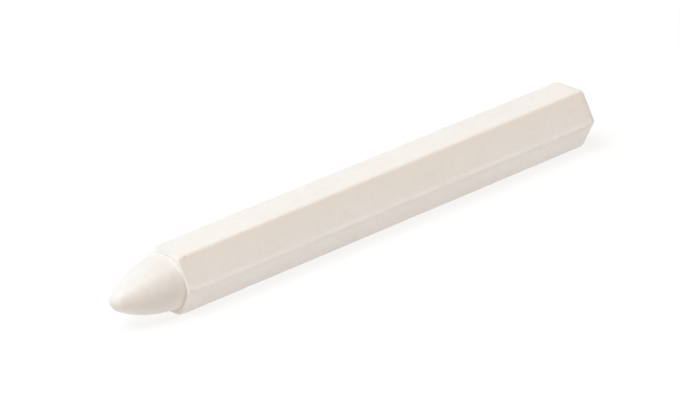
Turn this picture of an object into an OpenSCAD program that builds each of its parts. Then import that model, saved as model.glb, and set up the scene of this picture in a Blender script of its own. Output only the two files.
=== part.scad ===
// Six-sided stick of marking chalk with a rounded nose, moulded in one piece.
// All sizes are in millimetres. The stick lies on one of its flat sides, along X:
// the nose points to -X and the flat butt to +X. The origin is on the resting side,
// halfway along the stick.

/* [Stick] */
// Overall length, from the tip of the nose to the face of the butt
stick_length = 120; // [60:1:200]
// Width between two opposite flat sides
across_flats = 12; // [11:0.5:20]
// Radius of the six long ridges
ridge_radius = 0.7; // [0.2:0.1:1.5]

/* [Nose] */
// Length of the nose in front of the shoulder
nose_length = 12.8; // [10:0.2:16]
// Width of the ledge around the nose, at the middle of a flat side
ledge_width = 0.55; // [0.5:0.05:1]
// Radius of the rounded tip
tip_radius = 2.5; // [1:0.1:3]
// Angle between the nose's side and the stick's axis, where the nose leaves the ledge
nose_start_angle = 2; // [0:0.5:6]

/* [Edges] */
// Radius of the shoulder's outer edge
shoulder_edge_radius = 0.4; // [0.1:0.05:0.45]
// Radius of the butt's edge
butt_edge_radius = 2.6; // [1.6:0.1:5]
// How far the butt's rounded edge reaches along the stick
butt_edge_reach = 1.6; // [0.5:0.1:1.6]

/* [Hidden] */
$fn = 144;

sides = 6;
side_angle = 360 / sides;
half_flats = across_flats / 2;
shoulder_x = nose_length - stick_length / 2;
butt_x = stick_length / 2;

// Every arc is set this far over the line that it rounds off, so that the two cross cleanly
crossing = 0.002;
// How far helper shapes reach past the stick's surface
beyond = 5;
// How far the nose runs into the shank, so that the two are one solid
nose_root = 1;

// The nose's side is an arc that leaves the ledge at nose_start_angle and runs into the round
// tip. Places on the nose are [distance from the axis, height above the ledge].
nose_radius = half_flats - ledge_width;
tip_height = nose_length - tip_radius;
inner_tip = tip_radius - crossing;
side_arc_radius = (pow(tip_height, 2) + pow(nose_radius, 2) - pow(inner_tip, 2))
    / (2 * (nose_radius * cos(nose_start_angle) - tip_height * sin(nose_start_angle) - inner_tip));
side_arc_centre = [nose_radius, 0] - side_arc_radius * [cos(nose_start_angle), sin(nose_start_angle)];
blend_angle = atan2(tip_height - side_arc_centre.y, -side_arc_centre.x);
blend_height = tip_height + tip_radius * sin(blend_angle);

// The stick's section: a hexagon that stands on a flat side, with a small arc at each corner
module stick_section() {
    ridge_distance = (half_flats + crossing - ridge_radius) / cos(side_angle / 2);
    // The arcs take over from the flats at this distance from the axis
    arc_start = norm([half_flats, ridge_distance * sin(side_angle / 2)]);
    intersection() {
        circle(half_flats / cos(side_angle / 2), $fn = sides);
        union() {
            circle(arc_start);
            for (corner = [0 : side_angle : 359])
                rotate(corner) translate([ridge_distance, 0]) circle(ridge_radius);
        }
    }
}

// A pair of end arcs, one at each flat, and what lies between them
module end_arcs(arc_x, radius) {
    arc_y = half_flats + crossing - radius;
    for (y = [-arc_y, arc_y])
        translate([arc_x, y]) circle(radius);
    translate([arc_x - radius, -arc_y]) square([2 * radius, 2 * arc_y]);
}

// Ends of the shank, seen square to a pair of flat sides: x along the stick, y across the flats
module side_view() {
    shoulder_arc_x = shoulder_x - crossing + shoulder_edge_radius;
    butt_arc_x = butt_x - butt_edge_reach;
    height = across_flats + 2 * beyond;
    intersection() {
        translate([shoulder_x, -height / 2]) square([butt_x - shoulder_x, height]);
        union() {
            translate([shoulder_arc_x, -height / 2]) square([butt_arc_x - shoulder_arc_x, height]);
            end_arcs(shoulder_arc_x, shoulder_edge_radius);
            end_arcs(butt_arc_x, butt_edge_radius);
        }
    }
}

// Both ends of the shank, rounded along one pair of flat sides
module rounded_ends(turn) {
    rotate([90 + turn, 0, 0])
        linear_extrude(height = 2 * across_flats, center = true) side_view();
}

// The six-sided length, with its ends rounded along each pair of flat sides
module shank() {
    length = butt_x - shoulder_x + 2 * beyond;
    intersection() {
        translate([shoulder_x - beyond, 0, 0])
            rotate([90, 0, 90]) linear_extrude(height = length) stick_section();
        rounded_ends(0);
        rounded_ends(side_angle);
        rounded_ends(2 * side_angle);
    }
}

// Half of the nose's section: x out from the axis, y up from the ledge
module nose_section() {
    intersection() {
        translate([0, -nose_root]) square([half_flats, nose_root + nose_length]);
        translate(side_arc_centre) circle(side_arc_radius);
        union() {
            translate([0, -nose_root]) square([half_flats, nose_root + blend_height]);
            translate([0, tip_height]) circle(tip_radius);
        }
    }
}

module nose() {
    translate([shoulder_x, 0, 0]) rotate([0, -90, 0]) rotate_extrude() nose_section();
}

module chalk_stick() {
    color("ivory")
        translate([0, 0, half_flats]) {
            shank();
            nose();
        }
}

chalk_stick();
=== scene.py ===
# Looks of the chalk stick: an ivory stick of marking chalk on a pale floor, in soft light.
# Lengths are in metres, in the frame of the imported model: X runs along the stick, with the
# nose at -X, Z is up, and the origin is on the floor, halfway along the stick. The camera is
# on the side of -X and -Y, and what is called nearer is nearer to it.
from math import asin, atan2, cos, pi, radians, sin

import bpy
import numpy as np
from mathutils import Matrix, Vector, noise


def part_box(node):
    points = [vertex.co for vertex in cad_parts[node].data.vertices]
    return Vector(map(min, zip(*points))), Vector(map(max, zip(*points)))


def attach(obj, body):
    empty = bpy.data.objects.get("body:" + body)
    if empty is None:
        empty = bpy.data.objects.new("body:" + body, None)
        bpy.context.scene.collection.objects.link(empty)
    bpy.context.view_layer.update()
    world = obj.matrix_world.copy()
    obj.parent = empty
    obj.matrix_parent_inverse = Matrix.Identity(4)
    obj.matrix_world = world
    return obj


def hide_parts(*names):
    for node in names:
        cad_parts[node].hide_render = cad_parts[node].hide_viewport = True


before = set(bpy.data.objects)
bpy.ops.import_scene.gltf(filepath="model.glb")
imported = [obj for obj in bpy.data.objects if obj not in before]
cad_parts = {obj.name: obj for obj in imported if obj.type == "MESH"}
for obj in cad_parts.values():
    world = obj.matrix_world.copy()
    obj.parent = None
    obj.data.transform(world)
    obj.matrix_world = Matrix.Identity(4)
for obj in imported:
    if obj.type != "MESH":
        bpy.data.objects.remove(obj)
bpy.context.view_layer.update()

MM = 0.001
NODE = "chalk_stick"
PIECE = "chalk_stick_body"
LOW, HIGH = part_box(NODE)

# ---- Sizes of the stick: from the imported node's box, or the same as in its source ----
SIDES = 6
SIDE_ANGLE = 2 * pi / SIDES
HALF_FLATS = (HIGH.z - LOW.z) / 2
BUTT_X = HIGH.x
NOSE_LENGTH = 12.8 * MM
SHOULDER_X = LOW.x + NOSE_LENGTH
LEDGE_WIDTH = 0.55 * MM
NOSE_ROOT = HALF_FLATS - LEDGE_WIDTH
TIP_RADIUS = 2.5 * MM
NOSE_START_ANGLE = radians(2)
RIDGE_RADIUS = 0.7 * MM
BUTT_EDGE_RADIUS = 2.6 * MM
BUTT_EDGE_REACH = 1.6 * MM

# ---- Signs of moulding and handling, too small for the source ----
# The whole surface is taken in by this much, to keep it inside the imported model's box, and
# soft waves and lumps take it further in, by about these depths at most
SKIN = 0.004 * MM
WAVE_SIZE = 16 * MM
WAVE_DEPTH = 0.022 * MM
LUMP_SIZE = 3.2 * MM
LUMP_DEPTH = 0.010 * MM
# The tip of the nose stands this far above the stick's axis
NOSE_LEAN = 0.13 * MM
# The shoulder slants towards the butt by this slope, on the half of it that faces -Y and, by
# this turn, down. The slope sets in softly, and fades along the stick.
SHOULDER_SLANT = 0.055
SHOULDER_SLANT_TURN = radians(25)
SHOULDER_SLANT_BLEND = 4 * MM
SHOULDER_SLANT_REACH = 4 * MM
# Radii of two small roundings: the shoulder's edge, and inside the wide one of the butt
SHOULDER_EDGE = 0.3 * MM
BUTT_RIM_RADIUS = 0.25 * MM
# Six numbers are one for each ridge, from the one at +Y, round over the top and the -Y side.
# Radius of each ridge, and how far it is displaced: around the axis, where the stick
# begins and where it ends, and inwards
RIDGE_RADII = np.array([0.7, 0.7, 0.85, 0.35, 0.5, 0.7]) * MM
RIDGE_SAG_SHOULDER = np.array([0, 0, 0.24, 0.33, 0, 0]) * MM
RIDGE_SAG_BUTT = np.array([0, 0, 0.04, 0.12, 0, 0]) * MM
RIDGE_SINK = np.array([0, 0, 0, 0.10, 0, 0]) * MM
# How much rounder each ridge is at the shoulder, and how far along the stick that reaches
SHOULDER_WEAR = np.array([0.4, 0.6, 1.0, 1.6, 1.2, 0.4]) * MM
SHOULDER_WEAR_REACH = 1.0 * MM
# Each radius wanders by about these shares of itself, over these lengths
SLOW_WANDER = 0.16
SLOW_WANDER_LENGTH = 9 * MM
QUICK_WANDER = 0.08
QUICK_WANDER_LENGTH = 2.2 * MM
# Where the butt rounds off, each ridge's radius grows by this share of the inset
BUTT_RIDGE_GAIN = 0.6
# How much paler each ridge is made: partly by handling, partly as a painted highlight
RIDGE_POLISH_AND_HIGHLIGHT = [0.3, 0.8, 0.25, 0.75, 0.3, 0.3]
# The halves of the mould met at this ridge, and left a low bead along it
SEAM_RIDGE = 3
SEAM_BEAD = 0.05 * MM
SEAM_BEAD_WIDTH = 0.4 * MM
# A narrow groove runs round the nose's root, and the ledge dips into it. It is deepest round
# the sides, half as deep underneath and fades out on top. Where it is less deep, the nose
# flares out a little instead, and on top the ledge slopes back.
GROOVE_WIDTH = 0.14 * MM
GROOVE_DEPTH = 0.24 * MM
FLARE = 0.24 * MM
FLARE_REACH = 0.5 * MM
LEDGE_SLOPE = 0.5
LEDGE_SLOPE_REACH = 3 * MM
# The groove's form, outwards from the nose: shares of its width, and of its depth there
GROOVE_ACROSS = np.array([[0.03], [0.1], [0.3], [0.7], [1.0]])
GROOVE_DOWN = np.array([[0.4], [0.85], [1.0], [1.0], [0.9]])
# How quickly the ledge rises out of the groove
LEDGE_RISE = 1.4

# ---- Density of the mesh: steps around the stick, and along each stretch of it ----
ARC_STEPS = 8
FLAT_STEPS = 28
SIDE_STEPS = ARC_STEPS + FLAT_STEPS
AROUND = SIDES * SIDE_STEPS
# How much the points of a flat side crowd towards its two ridges
FLAT_CROWDING = 0.12
TIP_STEPS = 18
NOSE_STEPS = 50
LEDGE_STEPS = 8
SHOULDER_EDGE_STEPS = 7
SHANK_STEPS = 320
BUTT_EDGE_STEPS = 10
BUTT_RIM_STEPS = 8
BUTT_FACE_STEPS = 17

random = np.random.default_rng(11)


# ---------------------------------------------------------------- fields
# Each seed looks this many features further off in the same noise than the one before, and
# each ridge reads it this far from the one before
SEED_STEP = (17.3, 5.1, 9.7)
RIDGE_NOISE_APART = 31 * MM


def noise_field(points, size, octaves, seed):
    """Smooth noise at each point, from about -1 to 1, with features about size across."""
    increment, octave_ratio = 1.0, 2.0
    shift = Vector([seed * step for step in SEED_STEP])
    scaled = points.reshape(-1, 3) / size
    values = [noise.fractal(Vector(point) + shift, increment, octave_ratio, octaves)
              for point in scaled]
    return np.array(values).reshape(points.shape[:-1])


def smooth_step(low, high, values):
    share = np.clip((values - low) / (high - low), 0, 1)
    return share * share * (3 - 2 * share)


def band(distance, middle, width):
    """1 at the middle, falling smoothly to nothing a little more than twice width away."""
    return np.exp(-((distance - middle) / width) ** 2)


def tipward(x):
    """From 0 at the ledge to 1 at the tip, and 0 along the six-sided length."""
    return np.clip((SHOULDER_X - x) / NOSE_LENGTH, 0, 1)


def buttward(x):
    """From 0 at the shoulder to 1 at the butt."""
    return (x - SHOULDER_X) / (BUTT_X - SHOULDER_X)


def on_nose(x, fade):
    """0 up to the shoulder, and 1 on the nose from that far in front of the ledge."""
    return smooth_step(SHOULDER_X, SHOULDER_X - fade, x)


def on_shank(x, start_fade=1.2 * MM, end_fade=1.5 * MM, end=BUTT_X):
    """1 along the six-sided length, fading to 0 at the shoulder and at its other end."""
    start = smooth_step(SHOULDER_X, SHOULDER_X + start_fade, x)
    return start * smooth_step(end, end - end_fade, x)


def from_axis(grid):
    return np.hypot(grid[..., 1], grid[..., 2] - HALF_FLATS)


# ---------------------------------------------------------------- form
def outline(half, radii, shift):
    """Rounded hexagons, one for each station: half is half the width across flats, and radii
    and shift have a row of six ridge radii and displacements. Gives points by station and
    place around, as [y, z]."""
    arcs = []
    for corner in range(SIDES):
        turn = corner * SIDE_ANGLE
        radius = radii[:, corner]
        angles = turn + np.linspace(-0.5, 0.5, ARC_STEPS + 1) * SIDE_ANGLE
        directions = np.stack([np.cos(angles), np.sin(angles)], -1)
        reach = (half - radius) / cos(SIDE_ANGLE / 2)
        centre = reach[:, None] * np.array([cos(turn), sin(turn)]) + shift[:, corner]
        arcs.append(centre[:, None] + radius[:, None, None] * directions)
    share = np.linspace(0, 1, FLAT_STEPS + 1)[1:-1, None]
    share = share - FLAT_CROWDING * np.sin(2 * pi * share)
    parts = []
    for corner in range(SIDES):
        start = arcs[corner][:, -1:]
        end = arcs[(corner + 1) % SIDES][:, :1]
        parts += [arcs[corner], start + (end - start) * share]
    return np.concatenate(parts, axis=1)


NOMINAL = outline(np.array([HALF_FLATS]), RIDGE_RADII[None], np.zeros((1, SIDES, 2)))
CIRCLE = NOMINAL / np.linalg.norm(NOMINAL, axis=-1, keepdims=True)
# How far each place around the stick lies towards +Y and towards the top. UP is 1 on top, 0
# at the sides and -1 underneath, and the numbers given with it below mark places in between.
TOWARDS_Y = CIRCLE[..., 0]
UP = CIRCLE[..., 1]
# The share of its depth that the groove has: 0 on top, 1 around the sides, a half underneath
SUNK = smooth_step(0.60, 0.05, UP) * (0.5 + 0.5 * smooth_step(-1, -0.2, UP))
# Radius of the nose where it meets the groove
FLARED_ROOT = NOSE_ROOT + FLARE * (1 - SUNK)


def underside(up):
    """From 0 on top to 1 underneath, where up goes from 1 to -1."""
    return smooth_step(0.7, -0.6, up)


def distance_from_ridge(corner):
    """How far round the section each place is from that ridge, and below 0 before it."""
    steps = np.linalg.norm(np.roll(NOMINAL[0], -1, axis=0) - NOMINAL[0], axis=-1)
    along = np.cumsum(steps) - steps[0]
    girth = steps.sum()
    middle = along[corner * SIDE_STEPS + ARC_STEPS // 2]
    return (along - middle + girth / 2) % girth - girth / 2


def rings(x, section):
    """Points of one ring per station, from each station's x, or a row of x, and its section
    about the axis."""
    x = np.asarray(x, float).reshape(len(x), -1)
    x = np.broadcast_to(x, section.shape[:2])
    return np.stack([x, section[..., 0], section[..., 1] + HALF_FLATS], -1)


def ridge_radii(x):
    """Radius of the six ridges at each x: each wanders a little, and is rounder where it
    ends at the shoulder."""
    radii = np.empty((len(x), SIDES))
    fade = np.exp(-(x - SHOULDER_X) / SHOULDER_WEAR_REACH)
    for corner in range(SIDES):
        lane = np.full(len(x), corner * RIDGE_NOISE_APART)
        places = np.stack([x, lane, np.zeros(len(x))], -1)
        slow = noise_field(places, SLOW_WANDER_LENGTH, octaves=2, seed=3)
        quick = noise_field(places, QUICK_WANDER_LENGTH, octaves=2, seed=4)
        wander = 1 + SLOW_WANDER * slow + QUICK_WANDER * quick
        radii[:, corner] = RIDGE_RADII[corner] * wander + SHOULDER_WEAR[corner] * fade
    return radii


def ridge_shift(x):
    """How far each ridge lies from its place in a true hexagon at each x, as [y, z]."""
    turn = np.arange(SIDES) * SIDE_ANGLE
    out = np.stack([np.cos(turn), np.sin(turn)], -1)
    onward = np.stack([-np.sin(turn), np.cos(turn)], -1)
    sag = RIDGE_SAG_SHOULDER + (RIDGE_SAG_BUTT - RIDGE_SAG_SHOULDER) * buttward(x)[:, None]
    return sag[..., None] * onward - RIDGE_SINK[:, None] * out


def shank_outline(x, half, extra_radius=0.0):
    return outline(half, ridge_radii(x) + extra_radius, ridge_shift(x))


def nose_profile():
    """Radius and height above the ledge along the nose, from the tip down to the ledge."""
    tip_height = NOSE_LENGTH - TIP_RADIUS
    side_radius = (tip_height ** 2 + NOSE_ROOT ** 2 - TIP_RADIUS ** 2) / (
        2 * (NOSE_ROOT * cos(NOSE_START_ANGLE) - tip_height * sin(NOSE_START_ANGLE)
             - TIP_RADIUS))
    centre_radius = NOSE_ROOT - side_radius * cos(NOSE_START_ANGLE)
    centre_height = -side_radius * sin(NOSE_START_ANGLE)
    blend = atan2(tip_height - centre_height, -centre_radius)
    tip = np.linspace(pi / 2, blend, TIP_STEPS + 1)[1:]
    side = np.linspace(blend, NOSE_START_ANGLE, NOSE_STEPS + 1)[1:]
    radius = np.concatenate([TIP_RADIUS * np.cos(tip),
                             centre_radius + side_radius * np.cos(side)])
    height = np.concatenate([tip_height + TIP_RADIUS * np.sin(tip),
                             centre_height + side_radius * np.sin(side)])
    return radius, height


def nose_rings():
    radius, height = nose_profile()
    flare = FLARE * np.clip(1 - height / FLARE_REACH, 0, 1)[:, None] ** 2 * (1 - SUNK)
    return rings(SHOULDER_X - height, (radius[:, None] + flare)[..., None] * CIRCLE)


def ledge_setback(rim):
    """How far the ledge's slope carries each place of the rim back from the shoulder: on the
    -Y half only by the very top, and on the +Y half wherever the groove is less deep."""
    width = np.linalg.norm(rim, axis=-1) - FLARED_ROOT
    at_top = smooth_step(0.8, 1, UP)
    return LEDGE_SLOPE * width * np.where(TOWARDS_Y < 0, at_top, 1 - SUNK)


def ledge_rings():
    """From the nose's root down into the groove, and out over the ledge to its rim."""
    depth = GROOVE_DEPTH * SUNK
    groove_radius = FLARED_ROOT + GROOVE_WIDTH * GROOVE_ACROSS
    groove = rings(SHOULDER_X + depth * GROOVE_DOWN, groove_radius[..., None] * CIRCLE)
    rim = shank_outline(np.array([SHOULDER_X]), np.array([HALF_FLATS - SHOULDER_EDGE]))
    share = np.linspace(0, 1, LEDGE_STEPS + 1)[1:-1, None]
    inner = (FLARED_ROOT + GROOVE_WIDTH)[..., None] * CIRCLE
    section = inner * (1 - share[..., None]) + rim * share[..., None]
    dip = GROOVE_DOWN[-1] * depth * (1 - share) ** LEDGE_RISE
    return np.concatenate([groove, rings(SHOULDER_X + dip + share * ledge_setback(rim), section)])


def shank_rings():
    """The shoulder's rounded edge and the six-sided length, up to where the butt rounds off."""
    turn = np.linspace(0, pi / 2, SHOULDER_EDGE_STEPS + 1)
    edge_x = SHOULDER_X + SHOULDER_EDGE * (1 - np.cos(turn))
    edge_half = HALF_FLATS - SHOULDER_EDGE * (1 - np.sin(turn))
    start = edge_x[-1]
    share = np.linspace(0, 1, SHANK_STEPS + 1)[1:-1]
    x = np.concatenate([edge_x, start + (BUTT_X - BUTT_EDGE_REACH - start) * share])
    half = np.concatenate([edge_half, np.full(len(share), HALF_FLATS)])
    section = shank_outline(x, half)
    fade = np.clip(1 - (x - SHOULDER_X) / LEDGE_SLOPE_REACH, 0, 1)[:, None] ** 2
    return rings(x[:, None] + ledge_setback(section[:1]) * fade, section)


def butt_rings():
    """The butt's wide rounding, the small one inside it, and the flat face to its middle."""
    inner_radius = BUTT_EDGE_RADIUS - BUTT_RIM_RADIUS
    last_turn = asin((BUTT_EDGE_REACH - BUTT_RIM_RADIUS) / inner_radius)
    wide = np.linspace(0, last_turn, BUTT_EDGE_STEPS + 1)
    small = np.linspace(last_turn, pi / 2, BUTT_RIM_STEPS + 1)[1:]
    x = np.concatenate([BUTT_X - BUTT_EDGE_REACH + BUTT_EDGE_RADIUS * np.sin(wide),
                        BUTT_X - BUTT_RIM_RADIUS * (1 - np.sin(small))])
    face_inset = BUTT_EDGE_RADIUS - inner_radius * cos(last_turn)
    inset = np.concatenate([BUTT_EDGE_RADIUS * (1 - np.cos(wide)),
                            face_inset - BUTT_RIM_RADIUS * np.cos(small)])
    section = shank_outline(x, HALF_FLATS - inset, BUTT_RIDGE_GAIN * inset[:, None])
    share = np.linspace(1, 0, BUTT_FACE_STEPS + 1)[1:-1, None, None]
    face = rings(np.full(len(share), BUTT_X), section[-1:] * share)
    return np.concatenate([rings(x, section), face])


def stick_rings():
    """All rings of the stick, from the tip of the nose to the middle of the butt."""
    return np.concatenate([nose_rings(), ledge_rings(), shank_rings(), butt_rings()])


def shape_faults(grid):
    """The nose leans up a little, and the shoulder is a little out of square."""
    grid = grid.copy()
    x = grid[..., 0]
    side = (-grid[..., 1] * cos(SHOULDER_SLANT_TURN)
            - (grid[..., 2] - HALF_FLATS) * sin(SHOULDER_SLANT_TURN))
    ramp = 0.5 * (side + np.sqrt(side ** 2 + SHOULDER_SLANT_BLEND ** 2))
    slant = SHOULDER_SLANT * ramp * band(x, SHOULDER_X, SHOULDER_SLANT_REACH)
    grid[..., 2] += NOSE_LEAN * tipward(x)
    grid[..., 0] += slant
    return grid


def grid_normals(grid):
    """Outward directions at the points of the grid."""
    never_zero = 1e-20
    along = np.gradient(grid, axis=0)
    around = np.roll(grid, -1, axis=1) - np.roll(grid, 1, axis=1)
    normal = np.cross(around, along)
    return normal / (np.linalg.norm(normal, axis=-1, keepdims=True) + never_zero)


# ---------------------------------------------------------------- dents and chips
# How many dents there are on the flat sides, along the ridges, round each end and in the
# cluster, and the cluster's side, place along it and place across it. Both places are a
# middle and a spread in millimetres.
SIDE_DENTS = 110
RIDGE_DENTS = 44
END_DENTS = 14
CLUSTER_DENTS = 10
CLUSTER_SIDE = 2
CLUSTER_ALONG = (-5, 1.3)
CLUSTER_ACROSS = (1.0, 0.8)
# How far the others may lie from the middle of a flat side, in millimetres: along the stick,
# and at its ends. Those at the butt lie this far before its face.
DENTS_ACROSS_SIDE = 3.0
DENTS_ACROSS_END = 3.3
DENTS_BEFORE_BUTT = 0.5 * MM


def place_on_side(x, side, across):
    """A point on the flat side between that ridge and the next. across is the distance from
    the side's middle, on towards the next ridge."""
    turn = (side + 0.5) * SIDE_ANGLE
    y = HALF_FLATS * cos(turn) - across * sin(turn)
    z = HALF_FLATS * sin(turn) + across * cos(turn)
    return np.array([x, y, z + HALF_FLATS])


def place_on_ridge(x, corner):
    reach = (HALF_FLATS - RIDGE_RADIUS) / cos(SIDE_ANGLE / 2) + RIDGE_RADIUS
    turn = corner * SIDE_ANGLE
    return np.array([x, reach * cos(turn), reach * sin(turn) + HALF_FLATS])


# Small chips where dirt has caught, as dents. Each has its x, side, distance across that side,
# radius and depth, in millimetres: two near the shoulder's corners, three on the nearer upper
# side, two under the seam near the butt and two by the butt's edge.
CHIPS = [(place_on_side(x * MM, side, across * MM), radius * MM, depth * MM)
         for x, side, across, radius, depth in (
             (-45.3, 2, -2.8, 0.35, 0.08), (-46.9, 3, -3.2, 0.30, 0.10),
             (-6.4, 2, 1.0, 0.40, 0.03), (-4.8, 2, 1.2, 0.30, 0.03), (-5.3, 2, 2.4, 0.35, 0.03),
             (55.5, 3, -3.0, 0.30, 0.06), (53.5, 3, -3.2, 0.25, 0.06),
             (58.1, 2, 0.5, 0.20, 0.03), (58.1, 2, 2.2, 0.20, 0.05))]


def random_dent(place, radii, depths):
    """A dent there, with its radius and depth from those ranges in millimetres."""
    return place, random.uniform(*radii) * MM, random.uniform(*depths) * MM


def make_dents():
    """Dents as (place, radius, depth): on the flat sides, along the ridges, round both ends,
    in a cluster near the middle of the stick, and last the chips."""
    shank = (SHOULDER_X + SHOULDER_EDGE, BUTT_X - BUTT_EDGE_REACH)
    dents = []
    for _ in range(SIDE_DENTS):
        place = place_on_side(random.uniform(*shank), random.integers(SIDES),
                              random.uniform(-DENTS_ACROSS_SIDE, DENTS_ACROSS_SIDE) * MM)
        dents.append(random_dent(place, (0.35, 0.9), (0.006, 0.02)))
    for _ in range(RIDGE_DENTS):
        place = place_on_ridge(random.uniform(*shank), random.integers(SIDES))
        dents.append(random_dent(place, (0.35, 0.9), (0.02, 0.07)))
    for end_x in (SHOULDER_X, BUTT_X - DENTS_BEFORE_BUTT):
        for _ in range(END_DENTS):
            place = place_on_side(end_x, random.integers(SIDES),
                                  random.uniform(-DENTS_ACROSS_END, DENTS_ACROSS_END) * MM)
            dents.append(random_dent(place, (0.25, 0.5), (0.02, 0.08)))
    for _ in range(CLUSTER_DENTS):
        place = place_on_side(random.normal(*CLUSTER_ALONG) * MM, CLUSTER_SIDE,
                              random.normal(*CLUSTER_ACROSS) * MM)
        dents.append(random_dent(place, (0.3, 0.5), (0.02, 0.04)))
    return dents + CHIPS


def dent_depth(grid, dents):
    depth = np.zeros(grid.shape[:2])
    for place, radius, deepest in dents:
        distance = np.linalg.norm(grid - place, axis=-1)
        depth += deepest * np.exp(-(distance / radius) ** 2)
    return depth


def surface_depth(grid, dents):
    """How deep the surface lies under its nominal place: soft waves, lumps and dents, less
    the bead along the seam."""
    waves = 0.5 + 0.5 * noise_field(grid, WAVE_SIZE, octaves=2, seed=21)
    lumps = 0.5 + 0.5 * noise_field(grid, LUMP_SIZE, octaves=3, seed=22)
    bead = SEAM_BEAD * np.exp(-np.abs(distance_from_ridge(SEAM_RIDGE)) / SEAM_BEAD_WIDTH)
    depth = SKIN + WAVE_DEPTH * waves + LUMP_DEPTH * lumps + dent_depth(grid, dents)
    return depth - bead * on_shank(grid[..., 0])


# ---------------------------------------------------------------- soil and painted shade, warmth, wear and painted light
# How much soil and painted shade each place holds, from 0 to 1, and how much more painted shade
# there is underneath. The ledge has painted shade, the nose has soil, and the butt has soil and
# painted shade. The painted shadow under the seam has this much at the shoulder, and twice as much
# at the butt.
LEDGE_SHADE = 0.38
NOSE_SOIL = 0.07
NOSE_SHADE_BELOW = 0.18
SEAM_SHADOW = 0.17
BUTT_SOIL_AND_SHADE = 0.08
BUTT_SHADE_BELOW = 0.14
# A chip holds more the deeper it is
CHIP_SOIL = 10 / MM
# How far the ledge's painted shade reaches: up the nose, past the shoulder and outwards
LEDGE_SHADE_UP_NOSE = 0.25 * MM
LEDGE_SHADE_PAST = 0.1 * MM
LEDGE_SHADE_OUTWARDS = 0.5 * MM
# Points this close to the nose's root, and this close behind the shoulder, lie in the groove
GROOVE_FROM_ROOT = 0.1 * MM
GROOVE_FROM_SHOULDER = 1.0 * MM
# The painted shade under the nose has this share of its strength by the ledge, and all this far on
NOSE_SHADE_AT_LEDGE = 0.4
NOSE_SHADE_RISE = 4 * MM
# How far around from the seam the painted shadow under it has its middle, and its width
SEAM_SHADOW_MIDDLE = 0.85 * MM
SEAM_SHADOW_WIDTH = 0.55 * MM
# How far before the butt's face its soil and painted shade set in, and how far before they have all
# their strength
BUTT_SOIL_AND_SHADE_START = 1.9 * MM
BUTT_SOIL_AND_SHADE_FULL = 1.2 * MM

# How much warmer the chalk's colour is made: under the nose, how much more so by its tip, and
# beside the nearer upper ridge, in a band with this middle and width
NOSE_WARMTH = 0.8
TIP_WARMTH = 2.0
RIDGE_WARMTH = 0.65
WARM_RIDGE = 2
WARM_RIDGE_MIDDLE = 1.1 * MM
WARM_RIDGE_WIDTH = 1.8 * MM

# How far around from the seam its paler line, partly polish and partly a painted highlight, has its
# middle, and the width of every such line along a ridge
SEAM_PALE_LINE_MIDDLE = -0.30 * MM
PALE_LINE_WIDTH = 0.38 * MM
# How much paler the upper sides of the nose are made, as a painted highlight, and the shoulder's
# rim round the sides, partly by wear and partly as a painted highlight. The rim's line has its
# middle this far behind the shoulder, and this width.
NOSE_HIGHLIGHT = 0.35
RIM_POLISH_AND_HIGHLIGHT = 0.8
RIM_LINE_MIDDLE = 0.12 * MM
RIM_LINE_WIDTH = 0.14 * MM
# That line is full up to this far inside the stick's outline, and ends by this far
RIM_LINE_FULL = 0.4 * MM
RIM_LINE_END = 0.6 * MM
# How much painted shade darkens the nose on top, how much more at its tip, and the rim on top
NOSE_TOP_SHADE = 0.3
TIP_TOP_SHADE = 0.4
TOP_RIM_SHADE = 0.7


def soil_and_shade_field(grid):
    """How much soil and painted shade each place holds, from 0 to 1: painted shade in the groove
    and on the sunk ledge, soil in the chips and faintly on the nose, painted shade under the nose
    and along a line under the seam, and on the butt soil with painted shade, more of it underneath."""
    x = grid[..., 0]
    radius = from_axis(grid)
    past_shoulder = smooth_step(SHOULDER_X + SHOULDER_EDGE, SHOULDER_X, x - LEDGE_SHADE_PAST)
    in_groove = (radius < NOSE_ROOT + GROOVE_FROM_ROOT) & (x < SHOULDER_X + GROOVE_FROM_SHOULDER)
    outwards = np.clip(radius - NOSE_ROOT - LEDGE_SHADE_OUTWARDS, 0, None)
    # The ledge's part is painted shade in the groove and on the sunk ledge: strongest round the
    # sides, less underneath, none on top.
    ledge = np.where(x < SHOULDER_X, band(x, SHOULDER_X, LEDGE_SHADE_UP_NOSE),
                     np.maximum(past_shoulder, in_groove))
    ledge *= LEDGE_SHADE * band(outwards, 0, LEDGE_SHADE_OUTWARDS) * SUNK
    # Painted shade underneath the nose, weaker by the ledge and none at the very tip.
    rise = NOSE_SHADE_AT_LEDGE + (1 - NOSE_SHADE_AT_LEDGE) * on_nose(x, NOSE_SHADE_RISE)
    below = underside(UP) * (1 - tipward(x) ** 4) * rise
    nose = (NOSE_SOIL + NOSE_SHADE_BELOW * below) * (x < SHOULDER_X)
    # A painted shadow along a line under the seam.
    seam_shadow = band(distance_from_ridge(SEAM_RIDGE), SEAM_SHADOW_MIDDLE, SEAM_SHADOW_WIDTH)
    seam_shadow = SEAM_SHADOW * seam_shadow * on_shank(x) * (1 + buttward(x))
    # At the butt: soil and painted shade all round, with more painted shade underneath.
    height = grid[..., 2] / HALF_FLATS - 1
    butt = BUTT_SOIL_AND_SHADE + BUTT_SHADE_BELOW * underside(height)
    butt *= smooth_step(BUTT_X - BUTT_SOIL_AND_SHADE_START, BUTT_X - BUTT_SOIL_AND_SHADE_FULL, x)
    chips = CHIP_SOIL * dent_depth(grid, CHIPS)
    patches = 0.75 + 0.5 * noise_field(grid, 1.6 * MM, octaves=3, seed=31)
    return np.clip(np.maximum.reduce([ledge, nose, seam_shadow, butt, chips]) * patches, 0, 1)


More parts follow.
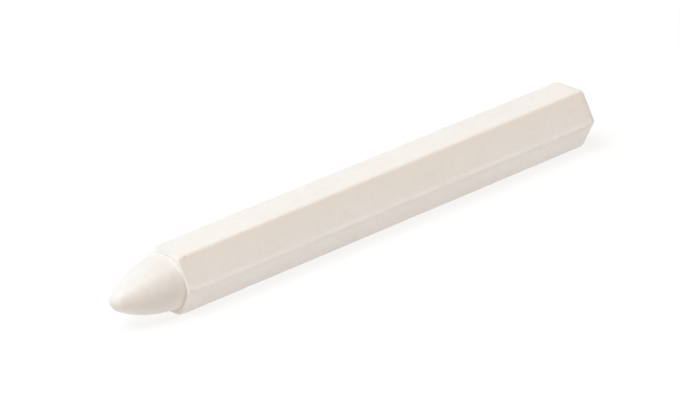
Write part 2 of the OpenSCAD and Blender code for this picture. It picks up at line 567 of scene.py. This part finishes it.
def warmth_field(grid):
    """Where the chalk's colour is made warmer, from 0 to 1: underneath the nose, and beside the
    nearer upper ridge."""
    x = grid[..., 0]
    nose = underside(UP) * on_nose(x, MM) * (NOSE_WARMTH + TIP_WARMTH * tipward(x) ** 4)
    ridge = band(distance_from_ridge(WARM_RIDGE), WARM_RIDGE_MIDDLE, WARM_RIDGE_WIDTH)
    ridge = RIDGE_WARMTH * ridge * on_shank(x, 0.3 * MM, MM)
    patches = 1 + 0.3 * noise_field(grid, 3 * MM, octaves=2, seed=33)
    return np.clip((nose + ridge) * patches, 0, 1)


def polish_and_highlight_field(grid):
    """How much paler the ridges, a line just above the seam, and the rim of the shoulder round the
    sides are made: partly wear from handling, partly painted highlight."""
    x = grid[..., 0]
    # Paler lines along the ridges: partly wear, partly painted highlight.
    ridges = np.zeros(AROUND)
    for corner, share in enumerate(RIDGE_POLISH_AND_HIGHLIGHT):
        middle = SEAM_PALE_LINE_MIDDLE if corner == SEAM_RIDGE else 0
        line = share * band(distance_from_ridge(corner), middle, PALE_LINE_WIDTH)
        ridges = np.maximum(ridges, line)
    ridges = ridges * on_shank(x, 0.3 * MM, 0.7 * MM, end=BUTT_X - 0.1 * MM)
    # Paler line round the shoulder's rim at the sides: partly wear, partly painted highlight.
    rim = RIM_POLISH_AND_HIGHLIGHT * band(x, SHOULDER_X + RIM_LINE_MIDDLE, RIM_LINE_WIDTH)
    rim *= smooth_step(0.92, 0.7, UP) * smooth_step(-0.7, -0.2, UP)
    inwards = np.linalg.norm(NOMINAL, axis=-1) - from_axis(grid)
    rim *= smooth_step(RIM_LINE_END, RIM_LINE_FULL, inwards)
    patches = 0.8 + 0.5 * noise_field(grid, 2.5 * MM, octaves=2, seed=32)
    return np.maximum(ridges, rim) * patches


def wear_and_painted_light_field(grid):
    """How the surface's colour differs from plain chalk, from -1 to 1. Above 0 it is paler: where
    it is polished, partly a painted highlight, and on the upper sides of the nose, a painted
    highlight. Below 0 it is darker with painted shade: underneath the nose, on top of it, the more
    so by its tip, and on top of the shoulder's rim."""
    x = grid[..., 0]
    # A painted highlight on the upper sides of the nose.
    paler = NOSE_HIGHLIGHT * band(UP, 0.77, 0.15) * on_nose(x, MM)
    # Painted shade: darker underneath the nose, on top of it, the more so by its tip, and on top of
    # the shoulder's rim.
    below = smooth_step(0.6, -0.4, UP) * (1 - tipward(x) ** 2) * on_nose(x, 4 * MM)
    above = smooth_step(0.78, 0.97, UP) * (NOSE_TOP_SHADE + TIP_TOP_SHADE * tipward(x) ** 2)
    top_rim_shade = smooth_step(0.8, 0.97, UP) * band(x, SHOULDER_X + 0.2 * MM, 0.7 * MM)
    painted_shade = np.maximum(below + above * on_nose(x, 2 * MM), TOP_RIM_SHADE * top_rim_shade)
    return np.clip(polish_and_highlight_field(grid) + paler - painted_shade, -1, 1)


# ---------------------------------------------------------------- mesh
def make_mesh(name, grid):
    """A closed mesh from rings of points, with one point at the tip and one at the butt."""
    count = len(grid)
    tip = grid[0].mean(axis=0)
    tip[0] = LOW.x + SKIN
    points = np.concatenate([grid.reshape(-1, 3), [tip, grid[-1].mean(axis=0)]])
    faces = []
    for ring in range(count - 1):
        here = ring * AROUND
        for k in range(AROUND):
            after = (k + 1) % AROUND
            faces.append((here + k, here + after, here + AROUND + after, here + AROUND + k))
    tip_index = count * AROUND
    last = tip_index - AROUND
    for k in range(AROUND):
        after = (k + 1) % AROUND
        faces.append((tip_index, after, k))
        faces.append((tip_index + 1, last + k, last + after))
    mesh = bpy.data.meshes.new(name)
    mesh.from_pydata(points.tolist(), [], faces)
    mesh.validate()
    mesh.shade_smooth()
    return mesh


def add_field(mesh, name, values):
    """Stores one number per point of the mesh, for the materials. The two end points take
    the mean of the rings beside them."""
    ends = [values[0].mean(), values[-1].mean()]
    attribute = mesh.attributes.new(name, "FLOAT", "POINT")
    attribute.data.foreach_set("value", np.concatenate([values.ravel(), ends]).astype(float))


def make_stick():
    nominal = stick_rings()
    depth = surface_depth(nominal, make_dents())
    grid = shape_faults(nominal)
    mesh = make_mesh(PIECE, grid - grid_normals(grid) * depth[..., None])
    # The soil field also carries painted shade, and the wear field carries painted highlights and
    # painted shade.
    add_field(mesh, "soil_and_shade", soil_and_shade_field(nominal))
    add_field(mesh, "wear_and_painted_light", wear_and_painted_light_field(nominal))
    add_field(mesh, "warmth", warmth_field(nominal))
    stick = bpy.data.objects.new(PIECE, mesh)
    bpy.context.scene.collection.objects.link(stick)
    return stick


# ---------------------------------------------------------------- materials
class Nodes:
    """A short way to write a material's nodes."""

    def __init__(self, tree):
        self.tree = tree

    def add(self, kind, settings=None, **inputs):
        """A node of that kind, with its own settings, and its inputs as values or links."""
        node = self.tree.nodes.new(kind)
        for name, value in (settings or {}).items():
            setattr(node, name, value)
        for name, value in inputs.items():
            self.put(node.inputs[name.replace("_", " ")], value)
        return node

    def put(self, socket, value):
        if isinstance(value, bpy.types.NodeSocket):
            self.tree.links.new(value, socket)
        else:
            socket.default_value = value

    def attribute(self, name):
        return self.add("ShaderNodeAttribute", {"attribute_name": name}).outputs["Fac"]

    def math(self, operation, first, second=0.0, third=0.0):
        node = self.tree.nodes.new("ShaderNodeMath")
        node.operation = operation
        for socket, value in zip(node.inputs, (first, second, third)):
            self.put(socket, value)
        return node.outputs[0]

    def noise(self, position, scale, detail, roughness=0.5):
        node = self.add("ShaderNodeTexNoise", Vector=position, Scale=scale, Detail=detail,
                        Roughness=roughness)
        return node.outputs["Fac"]

    def span(self, value, low, high, to_low, to_high):
        """Takes value from low..high to to_low..to_high, and no further."""
        node = self.add("ShaderNodeMapRange", Value=value)
        for name, number in (("From Min", low), ("From Max", high),
                             ("To Min", to_low), ("To Max", to_high)):
            node.inputs[name].default_value = number
        return node.outputs["Result"]

    def spots(self, position, scale, inner, outer, threshold):
        """Round spots, 1 out to inner and 0 from outer on, one in each cell of a random
        pattern whose own random number is above the threshold."""
        cells = self.add("ShaderNodeTexVoronoi", Vector=position, Scale=scale)
        kept = self.math("GREATER_THAN", cells.outputs["Color"], threshold)
        return self.math("MULTIPLY", self.span(cells.outputs["Distance"], inner, outer, 1, 0), kept)

    def mix(self, share, first, second):
        node = self.tree.nodes.new("ShaderNodeMix")
        node.data_type = "RGBA"
        for name, value in (("Factor_Float", share), ("A_Color", first), ("B_Color", second)):
            socket = next(s for s in node.inputs if s.identifier == name)
            self.put(socket, (*value, 1) if isinstance(value, tuple) else value)
        return next(s for s in node.outputs if s.identifier == "Result_Color")


IVORY = (0.885, 0.818, 0.748)
CREAM = (0.875, 0.800, 0.718)
# Paler tint: polish, partly a painted highlight
POLISH_AND_HIGHLIGHT = (0.955, 0.900, 0.845)
# Darker tint for painted shade on the nose and on top of the shoulder's rim
PAINTED_SHADE_TINT = (0.800, 0.735, 0.665)
# Darker tone for mottling and powder, and painted shade in the pores
DARKER_TONE = (0.800, 0.722, 0.640)
# Warmer tint, under the nose and beside the nearer upper ridge
WARM_TINT = (0.885, 0.780, 0.670)
# Brown of soil, also used for painted shade on the ledge, under the nose, under the seam and at the
# butt
SOIL_AND_SHADE = (0.46, 0.33, 0.235)
SPECK = (0.52, 0.40, 0.30)
# Features of the chalk's pattern per millimetre
CLOUDS = 0.11
MOTTLES = 0.8
POWDER_GRAINS = 6.0
SPECK_CELLS = 0.42
PORE_CELLS = 1.7
# How far from its middle a spot is full and where it ends, as shares of its cell's size, and
# the threshold that a cell's own random number has to pass for the cell to have a spot
SPECK_REACH = (0.03, 0.07)
SPECK_THRESHOLD = 0.62
PORE_REACH = (0.06, 0.24)
PORE_THRESHOLD = 0.55
# The values of each noise between which its tint goes from nothing to all that it has
CLOUD_SPAN = (0.35, 0.65)
MOTTLE_SPAN = (0.38, 0.66)
POWDER_SPAN = (0.45, 0.75)
# The most of its tint that each thing brings. The pores' darker tint is painted shade in them.
MOTTLE_TINT = 0.30
POWDER_TINT = 0.16
PORE_SHADE = 0.20
SPECK_TINT = 0.40
POLISH_AND_HIGHLIGHT_TINT = 0.8
SOIL_AND_SHADE_TINT = 0.45
# Least and most roughness from the mottling, its values there, and what full wear with its painted
# light, and full soil with its painted shade, add
ROUGHNESS = (0.50, 0.68)
ROUGHNESS_SPAN = (0.3, 0.7)
WEAR_ROUGHNESS = -0.10
SOIL_ROUGHNESS = 0.15
# Relief of the same pattern, in millimetres
MOTTLE_HEIGHT = 0.030
POWDER_HEIGHT = 0.010
PORE_HEIGHT = -0.020


def chalk_material():
    """Ivory chalk: faint clouds and mottling, a few brown specks, fine pores darkened with painted
    shade, warmer where the warmth field says, paler where it is polished and where highlights are
    painted, darker where shade is painted, and browner with soil and with painted shade. Node
    lengths are in millimetres."""
    material = bpy.data.materials.new("ivory_chalk")
    material.use_nodes = True
    tree = material.node_tree
    shader = tree.nodes["Principled BSDF"]
    nodes = Nodes(tree)
    here = nodes.add("ShaderNodeTexCoord").outputs["Object"]
    to_mm = nodes.add("ShaderNodeVectorMath", {"operation": "SCALE"}, Scale=1 / MM)
    tree.links.new(here, to_mm.inputs[0])
    position = to_mm.outputs[0]
    soil_and_shade = nodes.attribute("soil_and_shade")
    wear_and_painted_light = nodes.attribute("wear_and_painted_light")
    warmth = nodes.attribute("warmth")

    clouds = nodes.noise(position, CLOUDS, 3)
    mottle = nodes.noise(position, MOTTLES, 4, 0.62)
    powder = nodes.noise(position, POWDER_GRAINS, 3, 0.6)
    specks = nodes.spots(position, SPECK_CELLS, *SPECK_REACH, SPECK_THRESHOLD)
    pores = nodes.spots(position, PORE_CELLS, *PORE_REACH, PORE_THRESHOLD)

    colour = nodes.mix(nodes.span(clouds, *CLOUD_SPAN, 0, 1), IVORY, CREAM)
    # The soil tint also paints shade, the polish tint also paints highlights, and the dull tint
    # paints shade.
    for share, tint in ((nodes.span(mottle, *MOTTLE_SPAN, 0, MOTTLE_TINT), DARKER_TONE),
                        (nodes.span(powder, *POWDER_SPAN, 0, POWDER_TINT), DARKER_TONE),
                        (nodes.math("MULTIPLY", pores, PORE_SHADE), DARKER_TONE),
                        (nodes.math("MULTIPLY", specks, SPECK_TINT), SPECK),
                        (warmth, WARM_TINT),
                        (nodes.span(wear_and_painted_light, 0, 1, 0, POLISH_AND_HIGHLIGHT_TINT), POLISH_AND_HIGHLIGHT),
                        (nodes.span(wear_and_painted_light, -1, 0, 1, 0), PAINTED_SHADE_TINT),
                        (nodes.math("MULTIPLY", soil_and_shade, SOIL_AND_SHADE_TINT), SOIL_AND_SHADE)):
        colour = nodes.mix(share, colour, tint)
    tree.links.new(colour, shader.inputs["Base Color"])

    roughness = nodes.span(mottle, *ROUGHNESS_SPAN, *ROUGHNESS)
    roughness = nodes.math("MULTIPLY_ADD", wear_and_painted_light, WEAR_ROUGHNESS, roughness)
    roughness = nodes.math("MULTIPLY_ADD", soil_and_shade, SOIL_ROUGHNESS, roughness)
    tree.links.new(roughness, shader.inputs["Roughness"])

    shader.inputs["Subsurface Weight"].default_value = 0.25
    shader.inputs["Subsurface Radius"].default_value = (1.0, 0.95, 0.90)
    shader.inputs["Subsurface Scale"].default_value = 0.35 * MM

    height = nodes.math("MULTIPLY", mottle, MOTTLE_HEIGHT)
    height = nodes.math("MULTIPLY_ADD", powder, POWDER_HEIGHT, height)
    height = nodes.math("MULTIPLY_ADD", pores, PORE_HEIGHT, height)
    bump = nodes.add("ShaderNodeBump", Height=height, Distance=MM, Strength=1.0)
    tree.links.new(bump.outputs["Normal"], shader.inputs["Normal"])
    return material


FLOOR_COLOUR = (0.2, 0.2, 0.2)
FLOOR_GLOW = (0.722, 0.738, 0.772)
FLOOR_GLOW_SEEN = (0.800, 0.795, 0.785)
FLOOR_GLOW_FAR = (1.0, 1.0, 1.0)
# The floor turns full white between these distances from the stick
FLOOR_FADE_START = 0.3
FLOOR_FADE_END = 1.6


def floor_material():
    """A matt white light table: most of the light that it gives off is its own. The camera
    sees its glow a little paler, and it is full white far away, where it joins the backdrop."""
    material = bpy.data.materials.new("pale_floor")
    material.use_nodes = True
    tree = material.node_tree
    tree.nodes.clear()
    nodes = Nodes(tree)
    here = nodes.add("ShaderNodeTexCoord").outputs["Object"]
    distance = nodes.add("ShaderNodeVectorMath", {"operation": "LENGTH"})
    tree.links.new(here, distance.inputs[0])
    camera_ray = nodes.add("ShaderNodeLightPath").outputs["Is Camera Ray"]
    far = nodes.span(distance.outputs["Value"], FLOOR_FADE_START, FLOOR_FADE_END, 0, 1)
    glow_colour = nodes.mix(far, nodes.mix(camera_ray, FLOOR_GLOW, FLOOR_GLOW_SEEN), FLOOR_GLOW_FAR)
    matt = nodes.add("ShaderNodeBsdfDiffuse", Color=(*FLOOR_COLOUR, 1)).outputs[0]
    glow = nodes.add("ShaderNodeEmission", Color=glow_colour, Strength=1.0).outputs[0]
    both = nodes.add("ShaderNodeAddShader")
    tree.links.new(matt, both.inputs[0])
    tree.links.new(glow, both.inputs[1])
    output = nodes.add("ShaderNodeOutputMaterial")
    tree.links.new(both.outputs[0], output.inputs["Surface"])
    return material


# ---------------------------------------------------------------- stage
LENS = 264.7
SENSOR_WIDTH = 36.0
VIEW_AZIMUTH = radians(47.94)
VIEW_ELEVATION = radians(23.49)
VIEW_ROLL = radians(2.785)
VIEW_DISTANCE = 0.9515
CLIP_END = 100
AIM = Vector((-0.40, 2.70, 4.21)) * MM
FLOOR_HALF_SIZE = 6.0
ROOM_COLOUR = (1.0, 0.89, 0.77, 1)
ROOM_STRENGTH = 0.49
SOFTBOX_DISTANCE = 1.4
SOFTBOX_SIZE = 0.9
# Each softbox as its name, azimuth and elevation in degrees, watts and colour
SOFTBOXES = (("key_softbox", 180, 65, 15.5, (0.80, 0.90, 1.0)),
             ("side_softbox", 135, 40, 5.8, (0.40, 0.70, 1.0)),
             ("butt_softbox", 0, 15, 2.0, (1.0, 0.90, 0.82)))


def make_camera():
    """A long lens, high on the nose's side of the stick, leaning a little to one side."""
    forward = Vector((cos(VIEW_ELEVATION) * cos(VIEW_AZIMUTH),
                      cos(VIEW_ELEVATION) * sin(VIEW_AZIMUTH), -sin(VIEW_ELEVATION)))
    level_right = forward.cross(Vector((0, 0, 1))).normalized()
    level_up = level_right.cross(forward)
    up = level_up * cos(VIEW_ROLL) + level_right * sin(VIEW_ROLL)
    right = forward.cross(up)
    data = bpy.data.cameras.new("camera")
    data.lens = LENS
    data.sensor_width = SENSOR_WIDTH
    data.clip_end = CLIP_END
    camera = bpy.data.objects.new("camera", data)
    turn = Matrix((right, up, -forward)).transposed().to_4x4()
    camera.matrix_world = Matrix.Translation(AIM - forward * VIEW_DISTANCE) @ turn
    bpy.context.scene.collection.objects.link(camera)
    bpy.context.scene.camera = camera


def make_softbox(name, azimuth, elevation, watts, colour):
    """A square lamp that faces the stick from that direction, seen from the origin."""
    data = bpy.data.lights.new(name, "AREA")
    data.shape = "SQUARE"
    data.size = SOFTBOX_SIZE
    data.energy = watts
    data.color = colour
    lamp = bpy.data.objects.new(name, data)
    azimuth = radians(azimuth)
    elevation = radians(elevation)
    place = SOFTBOX_DISTANCE * Vector((cos(elevation) * cos(azimuth),
                                       cos(elevation) * sin(azimuth), sin(elevation)))
    lamp.location = place
    lamp.rotation_euler = (-place).to_track_quat("-Z", "Y").to_euler()
    lamp.visible_camera = False
    bpy.context.scene.collection.objects.link(lamp)


def make_floor():
    size = FLOOR_HALF_SIZE
    mesh = bpy.data.meshes.new("floor")
    mesh.from_pydata([(-size, -size, 0), (size, -size, 0), (size, size, 0), (-size, size, 0)],
                     [], [(0, 1, 2, 3)])
    floor = bpy.data.objects.new("floor", mesh)
    mesh.materials.append(floor_material())
    bpy.context.scene.collection.objects.link(floor)


def make_world():
    """Even room light, which the camera sees as a white backdrop."""
    world = bpy.data.worlds.new("studio")
    world.use_nodes = True
    tree = world.node_tree
    room = tree.nodes["Background"]
    room.inputs["Color"].default_value = ROOM_COLOUR
    room.inputs["Strength"].default_value = ROOM_STRENGTH
    nodes = Nodes(tree)
    backdrop = nodes.add("ShaderNodeBackground", Color=(1, 1, 1, 1), Strength=1.0)
    camera_ray = nodes.add("ShaderNodeLightPath").outputs["Is Camera Ray"]
    mixed = nodes.add("ShaderNodeMixShader", Fac=camera_ray)
    tree.links.new(room.outputs[0], mixed.inputs[1])
    tree.links.new(backdrop.outputs[0], mixed.inputs[2])
    tree.links.new(mixed.outputs[0], tree.nodes["World Output"].inputs["Surface"])
    bpy.context.scene.world = world


bpy.context.scene.view_settings.view_transform = "Standard"
make_camera()
make_floor()
make_world()
for softbox in SOFTBOXES:
    make_softbox(*softbox)

stick = make_stick()
stick.data.materials.append(chalk_material())
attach(stick, "root")
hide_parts(NODE)
